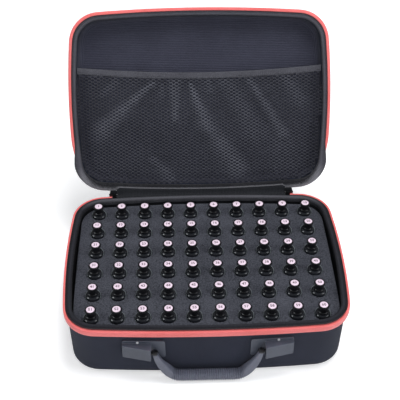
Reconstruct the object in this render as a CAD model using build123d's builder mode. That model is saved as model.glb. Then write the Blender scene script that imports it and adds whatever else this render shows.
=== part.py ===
from build123d import *
from math import asin, cos, radians, sin, sqrt
import os

# A zipped, moulded case for small oil bottles, standing open.
# Millimetres, +Z up, the lid hinges at the back, +Y.
# The origin is the middle of the flat bottom of the base.

# Rim outline, over the outside of the zip tape
rim_length = 366.0
rim_width = 258.0
corner_radius = 43.0
end_bow = 7.5
side_bow = 7.4

# Moulded shells
base_height = 90.0
base_band_height = 16.0
base_lean = 1.5
base_bend_radius = 13.0
lid_depth = 28.0
lid_band_height = 12.0
lid_lean = 5.0
lid_bend_radius = 12.0
shell_wall = 4.0
lining_thickness = 0.8
overrun = 1.0

# Lid hinge
lid_opening = 118.4
closed_gap = 0.3
hinge_set_back = 0.3
strip_half_length = 119.4
strip_thickness = 1.2
strip_leaf = 12.0
strip_clearance = 0.8

# Zip tape, coil and rim binding
tape_thickness = 4.5
tape_height = 8.8
tape_edge_radius = 2.3
tape_rim_drop = 0.2
tape_end = 126.5
coil_height = 2.1
coil_thickness = 1.0
coil_set_back = 2.9
coil_edge_radius = 0.4
coil_clearance = 0.1
binding_thickness = 1.1
binding_width = 6.2
binding_leg = 7.0
binding_edge_radius = 0.5

# Foam insert, the pad under it and the bottles
pad_thickness = 6.0
pad_clearance = 1.0
foam_height = 69.2
foam_half_length = 168.0
foam_side_clearance = 2.8
foam_end_bow = 1.5
foam_radius = 33.0
foam_lean = 1.2
bottle_columns = 10
bottle_rows = 6
column_pitch = 32.0
row_pitch = 38.5
bottle_radius = 10.25
bottle_clearance = 0.4
bottle_body_height = 69.4
shoulder_height = 3.6
neck_radius = 4.4
neck_height = 10.2
glass_wall = 1.3
heel_radius = 1.5
cap_seat_gap = 0.2
cap_height = 12.0
cap_skirt_radius = 6.7
cap_skirt_height = 2.4
cap_waist_radius = 5.6
cap_top_radius = 7.2
cap_edge_radius = 0.6
cap_clearance = 0.1
cap_roof = 1.5
label_radius = 5.75
label_thickness = 0.2

# Mesh pocket in the lid
pocket_depth = 15.6
net_thickness = 0.8
net_clearance = 0.3
net_column_count = 24
net_row_count = 11
net_border = 14.0
net_strand = 2.6
hem_height = 10.0
hem_thickness = 1.6
hem_middle = 42.0
hem_end = 50.0

# Carrying handle
handle_axis_height = 54.0
handle_axis_reach = 132.0
handle_thickness = 12.6
handle_drop = 43.5
grip_height = 12.6
grip_half_length = 40.0
arm_width = 6.8
arm_thickness = 8.6
arm_end_radius = 3.8
arm_outer_x = 69.3
arm_flare = 25.0
taper_low = 18.0
taper_high = 32.0
knee_radius = 12.0
handle_edge_radius = 3.0
rib_count = 26
rib_pitch = 2.8
rib_width = 1.5
rib_rise = 0.45
pin_radius = 3.0
pin_neck_radius = 2.2
pin_length = 3.6
pin_set_back = 0.4
pin_clearance = 0.1

# Handle brackets, with the plates and rivets that hold them
bracket_inner_x = 53.0
bracket_outer_x = 106.0
bracket_low = 38.6
bracket_high = 68.4
bracket_plate = 2.5
bracket_corner_radius = 3.0
boss_inner_x = 70.6
boss_wall_x = 69.8
boss_low = 44.7
boss_high = 64.2
boss_outer_rise = 7.7
boss_inner_rise = 14.7
boss_edge_radius = 1.2
notch_radius = 4.4
notch_high = 53.6
backing_thickness = 1.2
rivet_radius = 1.3
rivet_head_radius = 1.6
rivet_head_height = 0.9
rivet_clearance = 0.05
rivet_x = 87.0
upper_rivet_height = 66.3
lower_rivet_height = 41.6

# Zip sliders and their pull tabs
slider_x = 125.5
slider_length = 10.8
slider_thickness = 3.2
slider_height = 9.0
slider_rise = 1.9
slider_edge_radius = 0.9
slider_clearance = 0.3
crown_radius = 0.7
crown_stand = 2.2
crown_drop = 4.2
crown_length = 7.6
crown_post = 1.2
tab_eye_radius = 1.9
tab_eye_width = 4.4
tab_clearance = 0.2
tab_width = 6.6
tab_length = 24.0
tab_neck = 4.0
tab_thickness = 1.5
tab_corner_radius = 2.0

# Sizes that follow from the ones above
wall_inset = tape_thickness
lining_inset = wall_inset + shell_wall
inner_inset = lining_inset + lining_thickness
floor_top = shell_wall + lining_thickness
pad_top = floor_top + pad_thickness
foam_top = pad_top + foam_height
bottle_top = bottle_body_height + shoulder_height + cap_seat_gap + cap_height
half_length = rim_length / 2
half_width = rim_width / 2
hinge_y = half_width + hinge_set_back
hinge_z = base_height + closed_gap / 2

rim_plane = Plane.XY.offset(base_height)
open_angle = radians(180 - lid_opening)
lid_run = Vector(0, cos(open_angle), sin(open_angle))
lid_facing = Vector(0, -sin(open_angle), cos(open_angle))
lid_origin = Vector(0, hinge_y, hinge_z) + lid_run * hinge_y - lid_facing * (closed_gap / 2)
lid_plane = Plane(origin=lid_origin, x_dir=(1, 0, 0), z_dir=lid_facing)


def bow_radius(chord_half, bow):
    """Radius of an arc over a chord, from half the chord and the height of the arc."""
    return (chord_half**2 + bow**2) / (2 * bow)


def bow_fall(across, chord_half, bow):
    """How far a bowed side has fallen back from its middle."""
    radius = bow_radius(chord_half, bow)
    return radius - sqrt(radius**2 - across**2)


def bowed_face(half_x, half_y, bow_x, bow_y, radius):
    """A rectangle with bulging sides and round corners."""
    corner_x = half_x - bow_x
    corner_y = half_y - bow_y
    with BuildSketch(mode=Mode.PRIVATE) as face:
        with BuildLine():
            ThreePointArc((-corner_x, -corner_y), (0, -half_y), (corner_x, -corner_y))
            ThreePointArc((corner_x, -corner_y), (half_x, 0), (corner_x, corner_y))
            ThreePointArc((corner_x, corner_y), (0, half_y), (-corner_x, corner_y))
            ThreePointArc((-corner_x, corner_y), (-half_x, 0), (-corner_x, -corner_y))
        make_face()
        fillet(face.vertices(), radius)
    return face.sketch


def outline(inset):
    """The rim's outline, drawn in from the outside of the zip tape."""
    radius = max(corner_radius - inset, tape_thickness)
    return bowed_face(half_length - inset, half_width - inset, end_bow, side_bow, radius)


def wall_reach(x, z, inset=wall_inset, floor=0):
    """How far a surface of the base's front wall stands from the middle plane."""
    lean_height = base_height - base_band_height
    leaned = inset + base_lean * (lean_height - z) / (lean_height - floor)
    return half_width - leaned - bow_fall(x, half_length - leaned - end_bow, side_bow)


def tub(plane, top, depth, band, lean, inset, bend, mode=Mode.ADD):
    """A solid tub under a rim plane: an upright band, then a leaning wall with a round bend."""
    upper = outline(inset)
    lower = outline(inset + lean)
    with BuildPart(mode=Mode.PRIVATE) as body:
        with BuildSketch(plane.offset(-depth)):
            add(lower)
        with BuildSketch(plane.offset(-band)):
            add(upper)
        loft()
        with BuildSketch(plane.offset(-band)):
            add(upper)
        extrude(amount=band + top)
        floor = body.faces().sort_by(Axis(plane.origin, plane.z_dir))[0]
        fillet(floor.edges(), bend)
    add(body.part, mode=mode)


def base_tub(inset, floor, top=0, mode=Mode.ADD):
    """The base's hollow or outside, for a surface that lies inset from the tape."""
    bend = max(base_bend_radius - floor, shell_wall)
    tub(rim_plane, top, base_height - floor, base_band_height, base_lean, inset, bend, mode)


def lid_tub(inset, floor, top=0, mode=Mode.ADD):
    """The lid's hollow or outside, for a surface that lies inset from the tape."""
    bend = max(lid_bend_radius - floor, shell_wall)
    tub(lid_plane, top, lid_depth - floor, lid_band_height, lid_lean, inset, bend, mode)


def ring(plane, low, high, outer, inner, mode=Mode.ADD):
    """A band that runs all round the rim, between two insets."""
    outside = outline(outer)
    inside = outline(inner)
    with BuildSketch(plane.offset(low)) as band:
        add(outside)
        add(inside, mode=Mode.SUBTRACT)
    extrude(band.sketch, amount=high - low, mode=mode)


def shell(tub_of, plane, name):
    """A moulded shell, one wall thick."""
    edge = -binding_thickness - closed_gap / 2
    with BuildPart() as piece:
        tub_of(wall_inset, 0)
        tub_of(lining_inset, shell_wall, top=overrun, mode=Mode.SUBTRACT)
        ring(plane, edge, overrun, -overrun, lining_inset + overrun, Mode.SUBTRACT)
    piece.part.label = name
    return piece


def lining(tub_of, plane, name):
    """The fabric skin inside a shell, up to the binding's leg."""
    with BuildPart() as piece:
        tub_of(lining_inset, shell_wall)
        tub_of(inner_inset, floor_top, top=overrun, mode=Mode.SUBTRACT)
        ring(plane, -binding_leg, overrun, wall_inset, inner_inset + overrun, Mode.SUBTRACT)
    piece.part.label = name
    return piece


def binding(plane, name):
    """The ribbed binding over a rim's edge, with its leg down the inside."""
    high = -closed_gap / 2
    outer = wall_inset - binding_edge_radius
    inner = wall_inset + binding_width
    with BuildPart() as piece:
        ring(plane, high - binding_thickness, high, outer, inner)
        ring(plane, -binding_leg, high, lining_inset, inner)
        rim = piece.faces().sort_by(Axis(plane.origin, plane.z_dir))[-1]
        fillet(rim.edges(), binding_edge_radius)
    piece.part.label = name
    return piece


def back_gap(plane, side, low, high, half):
    """Cut a band open along the hinge side."""
    with BuildSketch(plane.offset(low)) as gap:
        with Locations((0, side * half_width)):
            Rectangle(2 * half, 2 * corner_radius)
    extrude(gap.sketch, amount=high - low, mode=Mode.SUBTRACT)


def zip_tape(plane, side, name):
    """The bulging coloured tape sewn round a rim, open along the hinge."""
    high = -closed_gap / 2 - tape_rim_drop
    coil_foot = -closed_gap / 2 - coil_height
    low = coil_foot - tape_height
    with BuildPart() as piece:
        ring(plane, low, high, 0, wall_inset)
        outer_loops = [face.outer_wire().edges() for face in piece.faces().filter_by(plane)]
        fillet(outer_loops, tape_edge_radius)
        step_inset = coil_set_back - coil_clearance
        ring(plane, coil_foot, high + overrun, step_inset, wall_inset + overrun, Mode.SUBTRACT)
        back_gap(plane, side, low - overrun, high + overrun, tape_end)
    piece.part.label = name
    return piece


def zip_coil(plane, side, name):
    """The toothed coil, on the step between the tape's roll and the binding."""
    high = -closed_gap / 2
    low = high - coil_height
    inner = coil_set_back + coil_thickness
    with BuildPart() as piece:
        ring(plane, low, high, coil_set_back, inner)
        top = piece.faces().sort_by(Axis(plane.origin, plane.z_dir))[-1]
        fillet(top.outer_wire().edges(), coil_edge_radius)
        back_gap(plane, side, low - overrun, high + overrun, tape_end)
    piece.part.label = name
    return piece


# The rivets of one bracket, as places on its face
rivet_planes = []
for z in (lower_rivet_height, upper_rivet_height):
    turn = asin(rivet_x / bow_radius(half_length - wall_inset - end_bow, side_bow))
    head = (rivet_x, -wall_reach(rivet_x, z, wall_inset - bracket_plate), z)
    rivet_planes.append(Plane(origin=head, x_dir=(cos(turn), sin(turn), 0), z_dir=(sin(turn), -cos(turn), 0)))
plate_depth = inner_inset + backing_thickness
plate_face = wall_reach(rivet_x, lower_rivet_height, plate_depth, floor_top)
rivet_grip = wall_reach(rivet_x, lower_rivet_height, wall_inset - bracket_plate) - plate_face


def rivet_bores(both_sides):
    """Cut the rivet holes, for the right bracket or for both."""
    with BuildPart(mode=Mode.PRIVATE) as bores:
        with BuildSketch(*[plane.offset(overrun) for plane in rivet_planes]):
            Circle(rivet_radius + rivet_clearance)
        extrude(amount=-rivet_grip - 2 * overrun)
        if both_sides:
            mirror(about=Plane.YZ)
    add(bores.part, mode=Mode.SUBTRACT)


def drilled(piece):
    """A wall piece with the holes for the rivets of both brackets."""
    with BuildPart() as wall:
        add(piece.part)
        rivet_bores(True)
    wall.part.label = piece.part.label
    return wall


# Moulded base and lid, each with its lining, binding and half of the zip
base_shell = drilled(shell(base_tub, rim_plane, "base_shell"))
base_lining = drilled(lining(base_tub, rim_plane, "base_lining"))
base_rim_binding = binding(rim_plane, "base_rim_binding")
base_zip_tape = zip_tape(rim_plane, 1, "base_zip_tape")
base_zip_coil = zip_coil(rim_plane, 1, "base_zip_coil")
lid_shell = shell(lid_tub, lid_plane, "lid_shell")
lid_lining = lining(lid_tub, lid_plane, "lid_lining")
lid_rim_binding = binding(lid_plane, "lid_rim_binding")
lid_zip_tape = zip_tape(lid_plane, -1, "lid_zip_tape")
lid_zip_coil = zip_coil(lid_plane, -1, "lid_zip_coil")


def strip_half(plane, side, leaf_inset):
    """Half of the hinge fabric: a leaf along the wall and a shelf out to the fold."""
    top = -closed_gap / 2
    shelf_low = top - strip_thickness
    leaf_low = shelf_low - strip_leaf
    shelf_inner = wall_inset - binding_edge_radius - strip_thickness / 2
    with BuildPart(mode=Mode.PRIVATE) as half:
        ring(plane, leaf_low, shelf_low, leaf_inset - strip_thickness, leaf_inset)
        ring(plane, shelf_low, top, -side_bow, shelf_inner)
        with BuildSketch(plane.offset(leaf_low - overrun)) as keep:
            with Locations((0, side * hinge_y / 2)):
                Rectangle(2 * strip_half_length, hinge_y)
        extrude(keep.sketch, amount=strip_leaf + rim_width, mode=Mode.INTERSECT)
    return half.part


# The fabric strip that joins base and lid, folded along one straight line
base_half = strip_half(rim_plane, 1, wall_inset)
lid_half = strip_half(lid_plane, -1, wall_inset - strip_clearance)
fold_line = Plane(origin=(-strip_half_length, hinge_y, hinge_z), z_dir=(1, 0, 0))
with BuildPart() as hinge_strip:
    with BuildSketch(fold_line):
        Circle(strip_thickness)
    extrude(amount=2 * strip_half_length)
    add(base_half)
    add(lid_half)
hinge_strip.part.label = "hinge_strip"

# Foam pad on the base's floor
with BuildPart() as foam_base_pad:
    base_tub(inner_inset + pad_clearance, floor_top)
    split(bisect_by=Plane.XY.offset(pad_top), keep=Keep.BOTTOM)
foam_base_pad.part.label = "foam_base_pad"

# Places of the bottles, by row from the front
first_column = -column_pitch * (bottle_columns - 1) / 2
first_row = -row_pitch * (bottle_rows - 1) / 2
columns = [first_column + column_pitch * n for n in range(bottle_columns)]
rows = [first_row + row_pitch * n for n in range(bottle_rows)]

# Foam insert, bored for every bottle
foam_half_width = half_width - inner_inset - foam_side_clearance
foot_length = foam_half_length - foam_lean
foot_width = foam_half_width - foam_lean
foam_foot = bowed_face(foot_length, foot_width, foam_end_bow, side_bow, foam_radius - foam_lean)
foam_head = bowed_face(foam_half_length, foam_half_width, foam_end_bow, side_bow, foam_radius)
with BuildPart() as foam_insert:
    with BuildSketch(Plane.XY.offset(pad_top)):
        add(foam_foot)
    with BuildSketch(Plane.XY.offset(foam_top)):
        add(foam_head)
    loft()
    with BuildSketch(Plane.XY.offset(pad_top - overrun)):
        with GridLocations(column_pitch, row_pitch, bottle_columns, bottle_rows):
            Circle(bottle_radius + bottle_clearance)
    extrude(amount=foam_height + 2 * overrun, mode=Mode.SUBTRACT)
foam_insert.part.label = "foam_insert"

# One glass bottle, its cap and the label on the cap
shoulder_base = bottle_body_height
neck_base = bottle_body_height + shoulder_height
neck_top = neck_base + neck_height
shoulder_top_radius = bottle_radius - shoulder_height
with BuildPart() as glass:
    with BuildSketch(Plane.XZ):
        with BuildLine():
            Line((0, 0), (bottle_radius - heel_radius, 0))
            RadiusArc((bottle_radius - heel_radius, 0), (bottle_radius, heel_radius), -heel_radius)
            Line((bottle_radius, heel_radius), (bottle_radius, shoulder_base))
            RadiusArc((bottle_radius, shoulder_base), (shoulder_top_radius, neck_base), -shoulder_height)
            Line((shoulder_top_radius, neck_base), (neck_radius, neck_base))
            Line((neck_radius, neck_base), (neck_radius, neck_top))
            Line((neck_radius, neck_top), (neck_radius - glass_wall, neck_top))
            Line((neck_radius - glass_wall, neck_top), (neck_radius - glass_wall, neck_base))
            Line((neck_radius - glass_wall, neck_base), (bottle_radius - glass_wall, shoulder_base))
            Line((bottle_radius - glass_wall, shoulder_base), (bottle_radius - glass_wall, glass_wall))
            Line((bottle_radius - glass_wall, glass_wall), (0, glass_wall))
            Line((0, glass_wall), (0, 0))
        make_face()
    revolve(axis=Axis.Z)

cap_base = neck_base + cap_seat_gap
cap_bore = neck_radius + cap_clearance
with BuildPart() as cap:
    with BuildSketch(Plane.XZ):
        with BuildLine():
            Polyline(
                (cap_bore, cap_base),
                (cap_skirt_radius, cap_base),
                (cap_skirt_radius, cap_base + cap_skirt_height),
                (cap_waist_radius, cap_base + cap_skirt_height),
                (cap_top_radius, bottle_top),
                (0, bottle_top),
                (0, bottle_top - cap_roof),
                (cap_bore, bottle_top - cap_roof),
                close=True,
            )
        make_face()
    revolve(axis=Axis.Z)
    fillet(cap.faces().sort_by(Axis.Z)[-1].edges(), cap_edge_radius)

with BuildPart() as label:
    with BuildSketch(Plane.XY.offset(bottle_top)):
        Circle(label_radius)
    extrude(amount=label_thickness)


def copies(piece, places, name):
    """Copies of one piece, standing on the pad, in one node."""
    with BuildPart() as group:
        with Locations(*[(x, y, pad_top) for x, y in places]):
            add(piece.part)
    group.part.label = name
    return group


# The front left bottle lifts out by itself; the rest are grouped by row
lift_place = (columns[0], rows[0])
row_places = [[(x, y) for x in columns if (x, y) != lift_place] for y in rows]
lift_bottle = copies(glass, [lift_place], "lift_bottle")
lift_bottle_cap = copies(cap, [lift_place], "lift_bottle_cap")
lift_bottle_label = copies(label, [lift_place], "lift_bottle_label")
bottle_groups = []
for number, places in enumerate(row_places, start=1):
    bottle_groups.append(copies(glass, places, f"bottles_row_{number}"))
    bottle_groups.append(copies(cap, places, f"caps_row_{number}"))
    bottle_groups.append(copies(label, places, f"cap_labels_row_{number}"))

# Mesh pocket: a flat net over the lid's hinge half, under an elastic hem
net_low = -pocket_depth - net_thickness
hem_low = -pocket_depth - (net_thickness + hem_thickness) / 2
net_lean = lid_lean * (-hem_low - lid_band_height) / (lid_depth - floor_top - lid_band_height)
net_inset = inner_inset + net_clearance + net_lean
net_outline = outline(net_inset)
net_half_x = half_length - net_inset
net_foot = -half_width + net_inset


def hem_edge(drop):
    """A sagging line across the pocket's mouth, drop below its upper edge."""
    ends = net_half_x + overrun
    with BuildLine(mode=Mode.PRIVATE) as line:
        ThreePointArc((-ends, hem_end - drop), (0, hem_middle - drop), (ends, hem_end - drop))
    return line.line


def below_hem(drop):
    """Everything on the hinge side of a line under the hem's upper edge."""
    ends = net_half_x + overrun
    foot = -half_width
    edge = hem_edge(drop)
    with BuildSketch(mode=Mode.PRIVATE) as area:
        with BuildLine():
            add(edge)
            Polyline((ends, hem_end - drop), (ends, foot), (-ends, foot), (-ends, hem_end - drop))
        make_face()
    return area.sketch


pocket_area = below_hem(0)
net_area = below_hem(hem_height)
field_length = 2 * (net_half_x - net_border)
field_width = hem_middle - hem_height - net_foot - 2 * net_border
net_pitch_x = field_length / net_column_count
net_pitch_y = field_width / net_row_count
gap_half_x = (net_pitch_x - net_strand) / 2
gap_half_y = (net_pitch_y - net_strand) / 2
field_middle = net_foot + net_border + field_width / 2
with BuildPart() as pocket_net:
    with BuildSketch(lid_plane.offset(net_low)):
        add(net_outline)
        add(net_area, mode=Mode.INTERSECT)
        with Locations((0, field_middle)):
            with GridLocations(net_pitch_x, net_pitch_y, net_column_count, net_row_count):
                corners = ((-gap_half_x, 0), (0, -gap_half_y), (gap_half_x, 0), (0, gap_half_y))
                Polygon(*corners, mode=Mode.SUBTRACT)
    extrude(amount=net_thickness)
pocket_net.part.label = "pocket_net"

with BuildPart() as pocket_elastic:
    with BuildSketch(lid_plane.offset(hem_low)):
        add(net_outline)
        add(pocket_area, mode=Mode.INTERSECT)
        add(net_area, mode=Mode.SUBTRACT)
    extrude(amount=hem_thickness)
pocket_elastic.part.label = "pocket_elastic"


def mirrored(piece, name):
    """The same piece on the other side."""
    with BuildPart() as other:
        add(mirror(piece.part, about=Plane.YZ, mode=Mode.PRIVATE))
    other.part.label = name
    return other


# Handle bracket: a plate on the wall with a wedge that holds the handle's pin
bracket_middle = ((bracket_inner_x + bracket_outer_x) / 2, (bracket_low + bracket_high) / 2)
inside_reach = half_width - wall_inset - side_bow
tip_reach = wall_reach(boss_inner_x, handle_axis_height) + boss_inner_rise
end_reach = wall_reach(bracket_outer_x, handle_axis_height) + boss_outer_rise
pin_start = boss_inner_x + pin_set_back
pin_end = pin_start + pin_length
arm_inner_x = arm_outer_x - arm_width
arm_middle_x = arm_outer_x - arm_width / 2


def arm_notch():
    """An arch cut into the plate behind the handle's arm, open at the bottom."""
    foot = bracket_low - overrun
    arch_height = notch_high - notch_radius
    with BuildSketch(Plane.XZ.offset(inside_reach - overrun)) as arch:
        with Locations((arm_middle_x, arch_height)):
            Circle(notch_radius)
        with Locations((arm_middle_x, (arch_height + foot) / 2)):
            Rectangle(2 * notch_radius, arch_height - foot)
    extrude(arch.sketch, amount=wall_inset + side_bow + overrun, mode=Mode.SUBTRACT)


def bracket_area(margin):
    """Keep only what lies in the bracket's rounded outline on the front wall."""
    width = bracket_outer_x - bracket_inner_x
    with BuildSketch(Plane.XZ.offset(inside_reach - margin)) as area:
        with Locations(bracket_middle):
            RectangleRounded(width, bracket_high - bracket_low, bracket_corner_radius)
    extrude(area.sketch, amount=wall_inset + side_bow + margin, mode=Mode.INTERSECT)


with BuildPart() as boss:
    with BuildSketch(Plane.XY.offset(boss_low)):
        Polygon(
            (boss_wall_x, -inside_reach),
            (boss_inner_x, -tip_reach),
            (bracket_outer_x, -end_reach),
            (bracket_outer_x, -inside_reach),
            align=None,
        )
    extrude(amount=boss_high - boss_low)
    fillet(boss.edges().filter_by(Axis.Z).group_by(Axis.Y)[0:2], boss_edge_radius)

with BuildPart() as handle_bracket_right:
    base_tub(wall_inset - bracket_plate, 0)
    bracket_area(overrun)
    arm_notch()
    add(boss.part)
    base_tub(wall_inset, 0, mode=Mode.SUBTRACT)
    with BuildSketch(Plane.YZ.offset(boss_wall_x - overrun)):
        with Locations((-handle_axis_reach, handle_axis_height)):
            Circle(pin_radius + pin_clearance)
    extrude(amount=pin_end + pin_clearance - boss_wall_x + overrun, mode=Mode.SUBTRACT)
    rivet_bores(False)
handle_bracket_right.part.label = "handle_bracket_right"
handle_bracket_left = mirrored(handle_bracket_right, "handle_bracket_left")

# Plate inside the base behind each bracket
with BuildPart() as backing_plate_right:
    base_tub(inner_inset, floor_top)
    bracket_area(lining_thickness + shell_wall + backing_thickness)
    base_tub(inner_inset + backing_thickness, floor_top, mode=Mode.SUBTRACT)
    rivet_bores(False)
backing_plate_right.part.label = "backing_plate_right"
backing_plate_left = mirrored(backing_plate_right, "backing_plate_left")

# Rivets through bracket, wall and plate
with BuildPart() as bracket_rivets:
    with BuildSketch(*[plane.offset(rivet_clearance) for plane in rivet_planes]):
        Circle(rivet_radius)
    extrude(amount=-rivet_grip - 2 * rivet_clearance)
    for plane in rivet_planes:
        inner_start = -rivet_grip - rivet_clearance
        for start, height in ((rivet_clearance, rivet_head_height), (inner_start, -rivet_head_height)):
            with BuildSketch(plane.offset(start)):
                Circle(rivet_head_radius)
            extrude(amount=height)
    mirror(about=Plane.YZ)
bracket_rivets.part.label = "bracket_rivets"

# Swinging handle
grip_middle = handle_axis_height - handle_drop
grip_low = grip_middle - grip_height / 2
grip_high = grip_middle + grip_height / 2
arm_top = handle_axis_height + arm_thickness / 2
flare_run = (-sin(radians(arm_flare)), -cos(radians(arm_flare)))
first_rib = -rib_pitch * (rib_count - 1) / 2 - rib_width / 2
rib_planes = [Plane.YZ.offset(first_rib + rib_pitch * n) for n in range(rib_count)]
with BuildPart() as handle_grip:
    with BuildSketch(Plane.XZ.offset(handle_axis_reach - handle_thickness / 2)) as grip:
        with BuildLine():
            Line((arm_outer_x, arm_top), (arm_outer_x, handle_axis_height))
            TangentArc((arm_outer_x, handle_axis_height), (grip_half_length, grip_low), tangent=(0, -1))
            Line((grip_half_length, grip_low), (0, grip_low))
            Line((0, grip_low), (0, grip_high))
            Line((0, grip_high), (grip_half_length, grip_high))
            TangentArc((arm_inner_x, handle_axis_height), (grip_half_length, grip_high), tangent=flare_run)
            Line((arm_inner_x, handle_axis_height), (arm_inner_x, arm_top))
            Line((arm_inner_x, arm_top), (arm_outer_x, arm_top))
        make_face()
        mirror(about=Plane.YZ)
        for end in (-grip_half_length, grip_half_length):
            knees = grip.vertices().filter_by_position(Axis.X, end - rib_rise, end + rib_rise)
            fillet(knees, knee_radius)
    extrude(amount=handle_thickness)
    fillet(handle_grip.edges(), handle_edge_radius)
    with BuildSketch(Plane.YZ.offset(-arm_outer_x)) as taper:
        with Locations((-handle_axis_reach, 0)):
            Polygon(
                (-handle_thickness / 2, 0),
                (-handle_thickness / 2, taper_low),
                (-arm_thickness / 2, taper_high),
                (-arm_thickness / 2, arm_top),
                (arm_thickness / 2, arm_top),
                (arm_thickness / 2, taper_high),
                (handle_thickness / 2, taper_low),
                (handle_thickness / 2, 0),
                align=None,
            )
        fillet(taper.vertices().group_by(Axis.Y)[-1], arm_end_radius)
    extrude(amount=2 * arm_outer_x, mode=Mode.INTERSECT)
    with BuildSketch(*rib_planes):
        with Locations((-handle_axis_reach, grip_middle)):
            RectangleRounded(
                handle_thickness + 2 * rib_rise, grip_height + 2 * rib_rise, handle_edge_radius + rib_rise
            )
    extrude(amount=rib_width)
    for side in (-1, 1):
        with BuildSketch(Plane.YZ.offset(side * arm_middle_x)):
            with Locations((-handle_axis_reach, handle_axis_height)):
                Circle(pin_neck_radius)
        extrude(amount=side * arm_width, mode=Mode.SUBTRACT)
handle_grip.part.label = "handle_grip"

with BuildPart() as handle_pin_right:
    with BuildSketch(Plane.YZ.offset(arm_middle_x)):
        with Locations((-handle_axis_reach, handle_axis_height)):
            Circle(pin_neck_radius)
    extrude(amount=pin_start - arm_middle_x)
    with BuildSketch(Plane.YZ.offset(pin_start)):
        with Locations((-handle_axis_reach, handle_axis_height)):
            Circle(pin_radius)
    extrude(amount=pin_length)
handle_pin_right.part.label = "handle_pin_right"
handle_pin_left = mirrored(handle_pin_right, "handle_pin_left")

# Zip slider at the right end of the tape, with a crown bar for its tab
slider_low = slider_rise - slider_height
slider_face = -slider_clearance - slider_thickness
slider_back_y = half_width - bow_fall(slider_x, half_length - end_bow, side_bow) - slider_face
crown_y = slider_back_y + crown_stand
crown_z = base_height + slider_rise - crown_drop
with BuildPart() as zip_slider_right:
    ring(rim_plane, slider_low, slider_rise, slider_face, -slider_clearance)
    with BuildSketch(rim_plane.offset(slider_low)):
        with Locations((slider_x, half_width)):
            Rectangle(slider_length, 2 * corner_radius)
    extrude(amount=slider_height, mode=Mode.INTERSECT)
    fillet(zip_slider_right.edges().filter_by(Axis.Z), slider_edge_radius)
    post_x = (crown_length - crown_post) / 2
    with BuildSketch(Plane.XZ.offset(-slider_back_y + slider_thickness / 2)):
        with Locations((slider_x - post_x, crown_z), (slider_x + post_x, crown_z)):
            Rectangle(crown_post, 2 * crown_radius)
    extrude(amount=-crown_stand - slider_thickness / 2)
    with BuildSketch(Plane.YZ.offset(slider_x - crown_length / 2)):
        with Locations((crown_y, crown_z)):
            Circle(crown_radius)
    extrude(amount=crown_length)
zip_slider_right.part.label = "zip_slider_right"
zip_slider_left = mirrored(zip_slider_right, "zip_slider_left")

# Pull tab hanging from the crown bar
with BuildPart() as pull_tab_right:
    with BuildSketch(Plane.XZ.offset(-crown_y + tab_thickness / 2)):
        with Locations((slider_x, crown_z - tab_neck / 2)):
            Rectangle(tab_eye_width, tab_neck)
        with Locations((slider_x, crown_z - (tab_neck + tab_length) / 2)):
            RectangleRounded(tab_width, tab_length - tab_neck, tab_corner_radius)
    extrude(amount=-tab_thickness)
    with BuildSketch(Plane.YZ.offset(slider_x - tab_eye_width / 2)):
        with Locations((crown_y, crown_z)):
            Circle(tab_eye_radius)
    extrude(amount=tab_eye_width)
    with BuildSketch(Plane.YZ.offset(slider_x - tab_width / 2)):
        with Locations((crown_y, crown_z)):
            Circle(crown_radius + tab_clearance)
    extrude(amount=tab_width, mode=Mode.SUBTRACT)
pull_tab_right.part.label = "pull_tab_right"
pull_tab_left = mirrored(pull_tab_right, "pull_tab_left")

pieces = [
    base_shell,
    base_lining,
    base_rim_binding,
    base_zip_tape,
    base_zip_coil,
    foam_base_pad,
    foam_insert,
    *bottle_groups,
    lift_bottle,
    lift_bottle_cap,
    lift_bottle_label,
    handle_bracket_right,
    handle_bracket_left,
    backing_plate_right,
    backing_plate_left,
    bracket_rivets,
    handle_grip,
    handle_pin_right,
    handle_pin_left,
    hinge_strip,
    lid_shell,
    lid_lining,
    lid_rim_binding,
    lid_zip_tape,
    lid_zip_coil,
    pocket_net,
    pocket_elastic,
    zip_slider_right,
    zip_slider_left,
    pull_tab_right,
    pull_tab_left,
]
os.makedirs("parts", exist_ok=True)
for piece in pieces:
    export_step(piece.part, f"parts/{piece.part.label}.step")
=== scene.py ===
import math

import bmesh
import bpy
import numpy as np
from mathutils import Matrix


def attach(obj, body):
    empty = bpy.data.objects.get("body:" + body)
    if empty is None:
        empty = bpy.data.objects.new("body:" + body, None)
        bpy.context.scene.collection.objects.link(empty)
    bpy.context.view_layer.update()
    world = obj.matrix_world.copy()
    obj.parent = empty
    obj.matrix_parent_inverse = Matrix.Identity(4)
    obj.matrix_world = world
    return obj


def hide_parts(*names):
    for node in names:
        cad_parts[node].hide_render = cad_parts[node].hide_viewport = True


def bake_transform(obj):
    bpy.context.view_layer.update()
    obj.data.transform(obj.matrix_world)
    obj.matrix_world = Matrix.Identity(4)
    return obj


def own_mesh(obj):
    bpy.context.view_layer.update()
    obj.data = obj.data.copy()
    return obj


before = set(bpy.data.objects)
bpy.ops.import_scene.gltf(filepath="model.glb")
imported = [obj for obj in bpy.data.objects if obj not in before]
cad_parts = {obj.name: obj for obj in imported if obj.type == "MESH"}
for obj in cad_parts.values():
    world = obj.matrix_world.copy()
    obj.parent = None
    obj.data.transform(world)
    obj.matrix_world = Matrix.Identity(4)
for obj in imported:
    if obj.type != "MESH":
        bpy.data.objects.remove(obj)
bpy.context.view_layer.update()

# Sizes and places in millimetres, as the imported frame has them; the hinge is just behind and above the rims
HALF_LENGTH, HALF_WIDTH, CORNER = 183.0, 129.0, 43.0
SIDE_BOW, FRONT_BOW = 7.5, 7.4
BASE_DEPTH, LID_DEPTH = 90.0, 28.0
HINGE_REACH, HINGE_RISE = 129.3, 0.15
HINGE = np.array([0.0, HINGE_REACH, BASE_DEPTH + HINGE_RISE])
LID_LEAN = math.radians(61.6)
RUN = np.array([0.0, math.cos(LID_LEAN), math.sin(LID_LEAN)])
FACING = np.array([0.0, -math.sin(LID_LEAN), math.cos(LID_LEAN)])
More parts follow.
